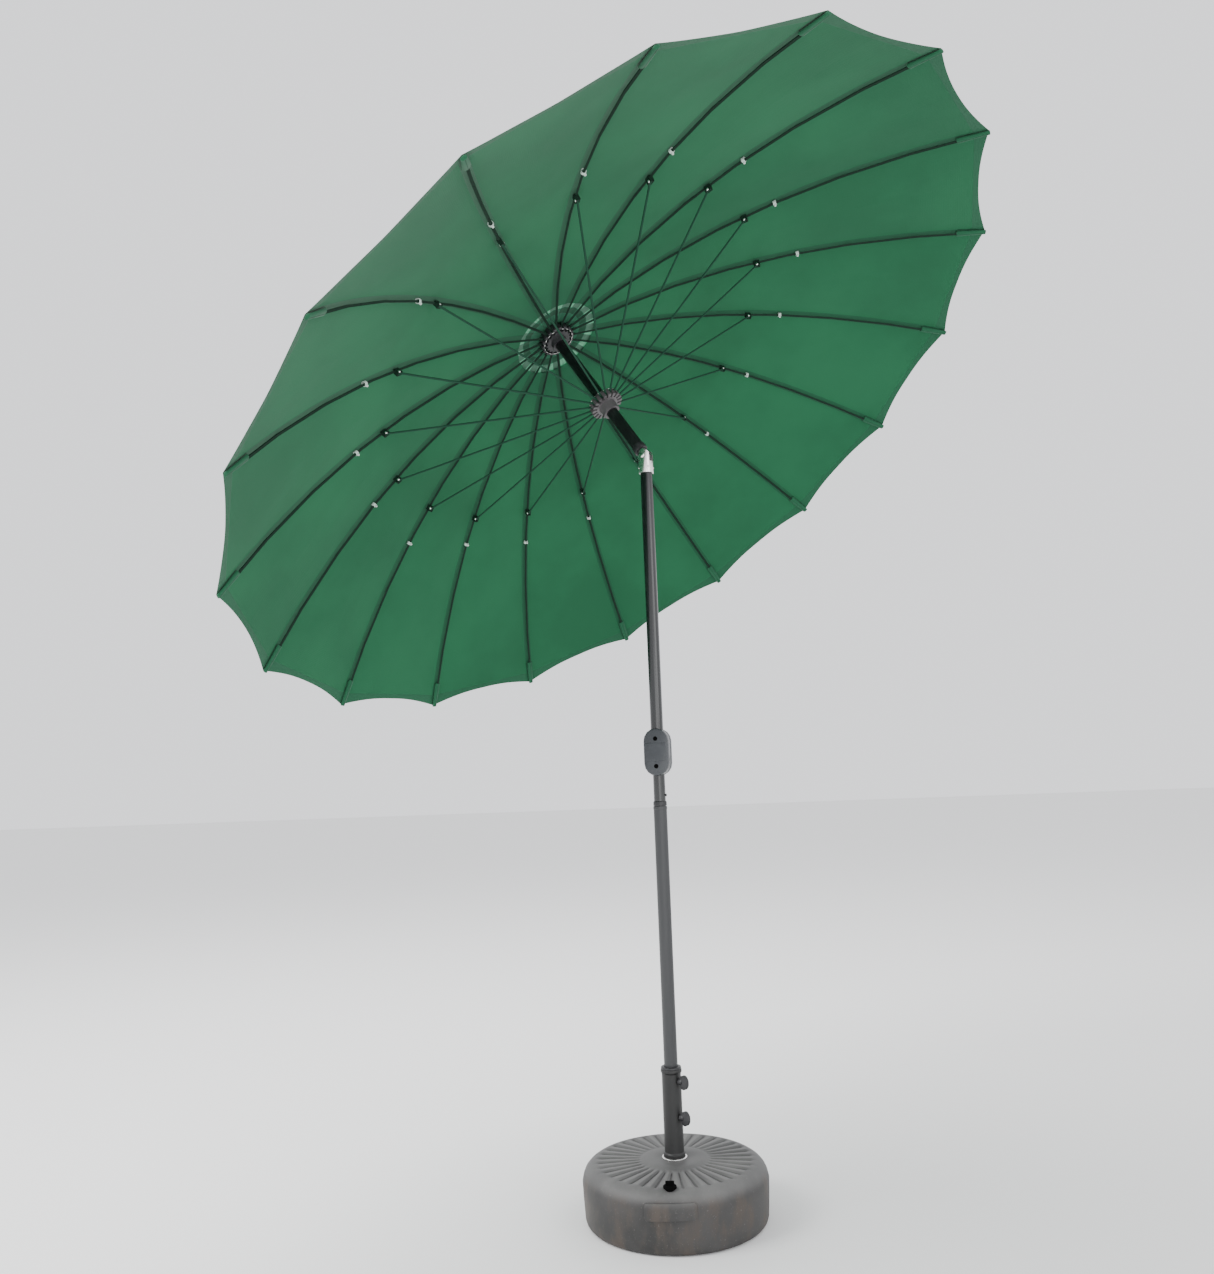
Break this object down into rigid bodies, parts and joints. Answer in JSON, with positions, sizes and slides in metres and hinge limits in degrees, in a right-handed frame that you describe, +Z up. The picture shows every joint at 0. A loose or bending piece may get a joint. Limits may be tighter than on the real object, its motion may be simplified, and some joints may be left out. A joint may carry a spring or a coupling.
{
  "type": "patio umbrella with base",
  "caption": "Tilting, crank-opened patio parasol with a ribbed fabric canopy and vent cap on a two-part mast, in a round water-filled base with clamp knobs.",
  "frame": {"origin": "middle of the tank's underside, on the floor", "axes": "+Z up along the lower mast; +X to the right and -Y towards the viewer, with the canopy leaning towards -X and +Y"},
  "size_m": [2.1371, 2.3707, 2.8257],
  "materials": {
    "fabric": "woven polyester, matt",
    "mast_paint": "satin powder coat",
    "black_plastic": "moulded, satin",
    "housing_plastic": "moulded, semi-gloss",
    "steel": "brushed",
    "rib_paint": "glass-fibre rod, dark",
    "strut_paint": "dark coated steel",
    "tank_plastic": "blow-moulded, weathered",
    "water": "water, out of sight"
  },
  "bodies": {
    "base": {"base_tank": "tank_plastic", "base_ballast": "water", "base_tube": "mast_paint", "tube_insert": "black_plastic"},
    "filler": {"filler_cap": "black_plastic"},
    "knob_upper": {"clamp_knob_upper": "black_plastic"},
    "knob_lower": {"clamp_knob_lower": "black_plastic"},
    "lower_mast": {"mast_lower": "mast_paint"},
    "mid_mast": {"mast_mid": "mast_paint", "housing_front": "housing_plastic", "housing_back": "housing_plastic", "knuckle_lower": "steel", "knuckle_pin": "steel"},
    "button": {"snap_button": "black_plastic"},
    "crank": {"crank_spool": "steel", "crank_arm": "black_plastic"},
    "grip": {"crank_grip": "black_plastic"},
    "head": {"knuckle_upper": "black_plastic", "mast_upper": "mast_paint", "hub": "black_plastic", "finial": "black_plastic", "canopy": "fabric", "vent_cap": "fabric"},
    "slider": {"runner": "black_plastic"},
    "rib_00": {"rib_00": "rib_paint"},
    "strut_00": {"strut_00": "strut_paint"},
    "rib_01": {"rib_01": "rib_paint"},
    "strut_01": {"strut_01": "strut_paint"},
    "rib_02": {"rib_02": "rib_paint"},
    "strut_02": {"strut_02": "strut_paint"},
    "rib_03": {"rib_03": "rib_paint"},
    "strut_03": {"strut_03": "strut_paint"},
    "rib_04": {"rib_04": "rib_paint"},
    "strut_04": {"strut_04": "strut_paint"},
    "rib_05": {"rib_05": "rib_paint"},
    "strut_05": {"strut_05": "strut_paint"},
    "rib_06": {"rib_06": "rib_paint"},
    "strut_06": {"strut_06": "strut_paint"},
    "rib_07": {"rib_07": "rib_paint"},
    "strut_07": {"strut_07": "strut_paint"},
    "rib_08": {"rib_08": "rib_paint"},
    "strut_08": {"strut_08": "strut_paint"},
    "rib_09": {"rib_09": "rib_paint"},
    "strut_09": {"strut_09": "strut_paint"},
    "rib_10": {"rib_10": "rib_paint"},
    "strut_10": {"strut_10": "strut_paint"},
    "rib_11": {"rib_11": "rib_paint"},
    "strut_11": {"strut_11": "strut_paint"},
    "rib_12": {"rib_12": "rib_paint"},
    "strut_12": {"strut_12": "strut_paint"},
    "rib_13": {"rib_13": "rib_paint"},
    "strut_13": {"strut_13": "strut_paint"},
    "rib_14": {"rib_14": "rib_paint"},
    "strut_14": {"strut_14": "strut_paint"},
    "rib_15": {"rib_15": "rib_paint"},
    "strut_15": {"strut_15": "strut_paint"},
    "rib_16": {"rib_16": "rib_paint"},
    "strut_16": {"strut_16": "strut_paint"},
    "rib_17": {"rib_17": "rib_paint"},
    "strut_17": {"strut_17": "strut_paint"}
  },
  "joints": [
    {"name": "filler_lift", "type": "slide", "parent": "base", "child": "filler", "axis": [0, 0, 1], "range_m": [0, 0.05]},
    {"name": "clamp_knob_upper_turn", "type": "hinge", "parent": "base", "child": "knob_upper", "pos_m": [0.02828, -0.02828, 0.354], "axis": [0.7071, -0.7071, 0], "continuous": true},
    {"name": "clamp_knob_lower_turn", "type": "hinge", "parent": "base", "child": "knob_lower", "pos_m": [0.02828, -0.02828, 0.262], "axis": [0.7071, -0.7071, 0], "continuous": true},
    {"name": "mast_swivel", "type": "hinge", "parent": "base", "child": "lower_mast", "pos_m": [0, 0, 0.3], "axis": [0, 0, 1], "continuous": true},
    {"name": "mast_lift", "type": "slide", "parent": "lower_mast", "child": "mid_mast", "axis": [0, 0, 1], "range_m": [0, 0.12]},
    {"name": "button_press", "type": "slide", "parent": "mid_mast", "child": "button", "axis": [-0.9511, 0.309, 0], "range_m": [0, 0.003], "stiffness_N_per_m": 600},
    {"name": "crank_turn", "type": "hinge", "parent": "mid_mast", "child": "crank", "pos_m": [0, 0, 1.255], "axis": [0.2079, 0.9781, 0], "range_deg": [-944.7, 0]},
    {"name": "grip_spin", "type": "hinge", "parent": "crank", "child": "grip", "pos_m": [0.01144, 0.0538, 1.183], "axis": [0.2079, 0.9781, 0], "continuous": true},
    {"name": "tilt", "type": "hinge", "parent": "mid_mast", "child": "head", "pos_m": [0, 0, 2.08], "axis": [-0.481, -0.8767, 0], "range_deg": [-34.77, 0]},
    {"name": "runner_slide", "type": "slide", "parent": "head", "child": "slider", "axis": [0.5, -0.2743, -0.8214], "range_m": [0, 0.14], "deforming": ["canopy", "vent_cap"]},
    {"name": "rib_00_hinge", "type": "hinge", "parent": "head", "child": "rib_00", "pos_m": [-0.24104, 0.10496, 2.52396], "axis": [0.7902, 0.5327, 0.303], "range_deg": [0, 6.9]},
    {"name": "strut_00_hinge", "type": "hinge", "parent": "slider", "child": "strut_00", "pos_m": [-0.09761, 0.02809, 2.28512], "axis": [0.7902, 0.5327, 0.303], "range_deg": [-6.97, 0]},
    {"name": "rib_01_hinge", "type": "hinge", "parent": "head", "child": "rib_01", "pos_m": [-0.22984, 0.11533, 2.52732], "axis": [0.6213, 0.7744, 0.1195], "range_deg": [0, 6.9]},
    {"name": "strut_01_hinge", "type": "hinge", "parent": "slider", "child": "strut_01", "pos_m": [-0.08715, 0.03777, 2.28825], "axis": [0.6213, 0.7744, 0.1195], "range_deg": [-6.97, 0]},
    {"name": "rib_02_hinge", "type": "hinge", "parent": "head", "child": "rib_02", "pos_m": [-0.22192, 0.1288, 2.52764], "axis": [0.3774, 0.9227, -0.0784], "range_deg": [0, 6.9]},
    {"name": "strut_02_hinge", "type": "hinge", "parent": "slider", "child": "strut_02", "pos_m": [-0.07976, 0.05034, 2.28855], "axis": [0.3774, 0.9227, -0.0784], "range_deg": [-6.97, 0]},
    {"name": "rib_03_hinge", "type": "hinge", "parent": "head", "child": "rib_03", "pos_m": [-0.21822, 0.14374, 2.5249], "axis": [0.0881, 0.9597, -0.2669], "range_deg": [0, 6.9]},
    {"name": "strut_03_hinge", "type": "hinge", "parent": "slider", "child": "strut_03", "pos_m": [-0.07631, 0.06428, 2.28599], "axis": [0.0881, 0.9597, -0.2669], "range_deg": [-6.97, 0]},
    {"name": "rib_04_hinge", "type": "hinge", "parent": "head", "child": "rib_04", "pos_m": [-0.2192, 0.15834, 2.51943], "axis": [-0.2119, 0.8809, -0.4231], "range_deg": [0, 6.9]},
    {"name": "strut_04_hinge", "type": "hinge", "parent": "slider", "child": "strut_04", "pos_m": [-0.07723, 0.07791, 2.28088], "axis": [-0.2119, 0.8809, -0.4231], "range_deg": [-6.97, 0]},
    {"name": "rib_05_hinge", "type": "hinge", "parent": "head", "child": "rib_05", "pos_m": [-0.22474, 0.17086, 2.51188], "axis": [-0.4863, 0.6959, -0.5284], "range_deg": [0, 6.9]},
    {"name": "strut_05_hinge", "type": "hinge", "parent": "slider", "child": "strut_05", "pos_m": [-0.0824, 0.08959, 2.27384], "axis": [-0.4863, 0.6959, -0.5284], "range_deg": [-6.97, 0]},
    {"name": "rib_06_hinge", "type": "hinge", "parent": "head", "child": "rib_06", "pos_m": [-0.23417, 0.17977, 2.50317], "axis": [-0.7021, 0.427, -0.5699], "range_deg": [0, 6.9]},
    {"name": "strut_06_hinge", "type": "hinge", "parent": "slider", "child": "strut_06", "pos_m": [-0.0912, 0.09791, 2.2657], "axis": [-0.7021, 0.427, -0.5699], "range_deg": [-6.97, 0]},
    {"name": "rib_07_hinge", "type": "hinge", "parent": "head", "child": "rib_07", "pos_m": [-0.24635, 0.184, 2.49434], "axis": [-0.8332, 0.1065, -0.5427], "range_deg": [0, 6.9]},
    {"name": "strut_07_hinge", "type": "hinge", "parent": "slider", "child": "strut_07", "pos_m": [-0.10257, 0.10186, 2.25746], "axis": [-0.8332, 0.1065, -0.5427], "range_deg": [-6.97, 0]},
    {"name": "rib_08_hinge", "type": "hinge", "parent": "head", "child": "rib_08", "pos_m": [-0.25982, 0.18304, 2.48646], "axis": [-0.8638, -0.2268, -0.45], "range_deg": [0, 6.9]},
    {"name": "strut_08_hinge", "type": "hinge", "parent": "slider", "child": "strut_08", "pos_m": [-0.11514, 0.10097, 2.25011], "axis": [-0.8638, -0.2268, -0.45], "range_deg": [-6.97, 0]},
    {"name": "rib_09_hinge", "type": "hinge", "parent": "head", "child": "rib_09", "pos_m": [-0.27294, 0.17702, 2.48048], "axis": [-0.7902, -0.5327, -0.303], "range_deg": [0, 6.9]},
    {"name": "strut_09_hinge", "type": "hinge", "parent": "slider", "child": "strut_09", "pos_m": [-0.12738, 0.09534, 2.24454], "axis": [-0.7902, -0.5327, -0.303], "range_deg": [-6.97, 0]},
    {"name": "rib_10_hinge", "type": "hinge", "parent": "head", "child": "rib_10", "pos_m": [-0.28414, 0.16664, 2.47713], "axis": [-0.6213, -0.7744, -0.1195], "range_deg": [0, 6.9]},
    {"name": "strut_10_hinge", "type": "hinge", "parent": "slider", "child": "strut_10", "pos_m": [-0.13784, 0.08566, 2.24141], "axis": [-0.6213, -0.7744, -0.1195], "range_deg": [-6.97, 0]},
    {"name": "rib_11_hinge", "type": "hinge", "parent": "head", "child": "rib_11", "pos_m": [-0.29207, 0.15318, 2.47681], "axis": [-0.3774, -0.9227, 0.0784], "range_deg": [0, 6.9]},
    {"name": "strut_11_hinge", "type": "hinge", "parent": "slider", "child": "strut_11", "pos_m": [-0.14523, 0.07309, 2.2411], "axis": [-0.3774, -0.9227, 0.0784], "range_deg": [-6.97, 0]},
    {"name": "rib_12_hinge", "type": "hinge", "parent": "head", "child": "rib_12", "pos_m": [-0.29576, 0.13824, 2.47954], "axis": [-0.0881, -0.9597, 0.2669], "range_deg": [0, 6.9]},
    {"name": "strut_12_hinge", "type": "hinge", "parent": "slider", "child": "strut_12", "pos_m": [-0.14868, 0.05915, 2.24366], "axis": [-0.0881, -0.9597, 0.2669], "range_deg": [-6.97, 0]},
    {"name": "rib_13_hinge", "type": "hinge", "parent": "head", "child": "rib_13", "pos_m": [-0.29478, 0.12364, 2.48502], "axis": [0.2119, -0.8809, 0.4231], "range_deg": [0, 6.9]},
    {"name": "strut_13_hinge", "type": "hinge", "parent": "slider", "child": "strut_13", "pos_m": [-0.14776, 0.04552, 2.24877], "axis": [0.2119, -0.8809, 0.4231], "range_deg": [-6.97, 0]},
    {"name": "rib_14_hinge", "type": "hinge", "parent": "head", "child": "rib_14", "pos_m": [-0.28924, 0.11113, 2.49257], "axis": [0.4863, -0.6959, 0.5284], "range_deg": [0, 6.9]},
    {"name": "strut_14_hinge", "type": "hinge", "parent": "slider", "child": "strut_14", "pos_m": [-0.14259, 0.03384, 2.25581], "axis": [0.4863, -0.6959, 0.5284], "range_deg": [-6.97, 0]},
    {"name": "rib_15_hinge", "type": "hinge", "parent": "head", "child": "rib_15", "pos_m": [-0.27981, 0.10222, 2.50128], "axis": [0.7021, -0.427, 0.5699], "range_deg": [0, 6.9]},
    {"name": "strut_15_hinge", "type": "hinge", "parent": "slider", "child": "strut_15", "pos_m": [-0.13379, 0.02553, 2.26395], "axis": [0.7021, -0.427, 0.5699], "range_deg": [-6.97, 0]},
    {"name": "rib_16_hinge", "type": "hinge", "parent": "head", "child": "rib_16", "pos_m": [-0.26763, 0.09798, 2.51011], "axis": [0.8332, -0.1065, 0.5427], "range_deg": [0, 6.9]},
    {"name": "strut_16_hinge", "type": "hinge", "parent": "slider", "child": "strut_16", "pos_m": [-0.12242, 0.02158, 2.27219], "axis": [0.8332, -0.1065, 0.5427], "range_deg": [-6.97, 0]},
    {"name": "rib_17_hinge", "type": "hinge", "parent": "head", "child": "rib_17", "pos_m": [-0.25416, 0.09894, 2.51799], "axis": [0.8638, 0.2268, 0.45], "range_deg": [0, 6.9]},
    {"name": "strut_17_hinge", "type": "hinge", "parent": "slider", "child": "strut_17", "pos_m": [-0.10986, 0.02247, 2.27954], "axis": [0.8638, 0.2268, 0.45], "range_deg": [-6.97, 0]}
  ],
  "couplings": [
    {"joint": "crank_turn", "follows": "runner_slide", "rad_per_m": -117.65},
    {"joint": "rib_00_hinge", "follows": "runner_slide", "rad_per_m": 0.85413},
    {"joint": "strut_00_hinge", "follows": "runner_slide", "rad_per_m": -0.86213},
    {"joint": "rib_01_hinge", "follows": "runner_slide", "rad_per_m": 0.85413},
    {"joint": "strut_01_hinge", "follows": "runner_slide", "rad_per_m": -0.86213},
    {"joint": "rib_02_hinge", "follows": "runner_slide", "rad_per_m": 0.85413},
    {"joint": "strut_02_hinge", "follows": "runner_slide", "rad_per_m": -0.86213},
    {"joint": "rib_03_hinge", "follows": "runner_slide", "rad_per_m": 0.85413},
    {"joint": "strut_03_hinge", "follows": "runner_slide", "rad_per_m": -0.86213},
    {"joint": "rib_04_hinge", "follows": "runner_slide", "rad_per_m": 0.85413},
    {"joint": "strut_04_hinge", "follows": "runner_slide", "rad_per_m": -0.86213},
    {"joint": "rib_05_hinge", "follows": "runner_slide", "rad_per_m": 0.85413},
    {"joint": "strut_05_hinge", "follows": "runner_slide", "rad_per_m": -0.86213},
    {"joint": "rib_06_hinge", "follows": "runner_slide", "rad_per_m": 0.85413},
    {"joint": "strut_06_hinge", "follows": "runner_slide", "rad_per_m": -0.86213},
    {"joint": "rib_07_hinge", "follows": "runner_slide", "rad_per_m": 0.85413},
    {"joint": "strut_07_hinge", "follows": "runner_slide", "rad_per_m": -0.86213},
    {"joint": "rib_08_hinge", "follows": "runner_slide", "rad_per_m": 0.85413},
    {"joint": "strut_08_hinge", "follows": "runner_slide", "rad_per_m": -0.86213},
    {"joint": "rib_09_hinge", "follows": "runner_slide", "rad_per_m": 0.85413},
    {"joint": "strut_09_hinge", "follows": "runner_slide", "rad_per_m": -0.86213},
    {"joint": "rib_10_hinge", "follows": "runner_slide", "rad_per_m": 0.85413},
    {"joint": "strut_10_hinge", "follows": "runner_slide", "rad_per_m": -0.86213},
    {"joint": "rib_11_hinge", "follows": "runner_slide", "rad_per_m": 0.85413},
    {"joint": "strut_11_hinge", "follows": "runner_slide", "rad_per_m": -0.86213},
    {"joint": "rib_12_hinge", "follows": "runner_slide", "rad_per_m": 0.85413},
    {"joint": "strut_12_hinge", "follows": "runner_slide", "rad_per_m": -0.86213},
    {"joint": "rib_13_hinge", "follows": "runner_slide", "rad_per_m": 0.85413},
    {"joint": "strut_13_hinge", "follows": "runner_slide", "rad_per_m": -0.86213},
    {"joint": "rib_14_hinge", "follows": "runner_slide", "rad_per_m": 0.85413},
    {"joint": "strut_14_hinge", "follows": "runner_slide", "rad_per_m": -0.86213},
    {"joint": "rib_15_hinge", "follows": "runner_slide", "rad_per_m": 0.85413},
    {"joint": "strut_15_hinge", "follows": "runner_slide", "rad_per_m": -0.86213},
    {"joint": "rib_16_hinge", "follows": "runner_slide", "rad_per_m": 0.85413},
    {"joint": "strut_16_hinge", "follows": "runner_slide", "rad_per_m": -0.86213},
    {"joint": "rib_17_hinge", "follows": "runner_slide", "rad_per_m": 0.85413},
    {"joint": "strut_17_hinge", "follows": "runner_slide", "rad_per_m": -0.86213}
  ]
}
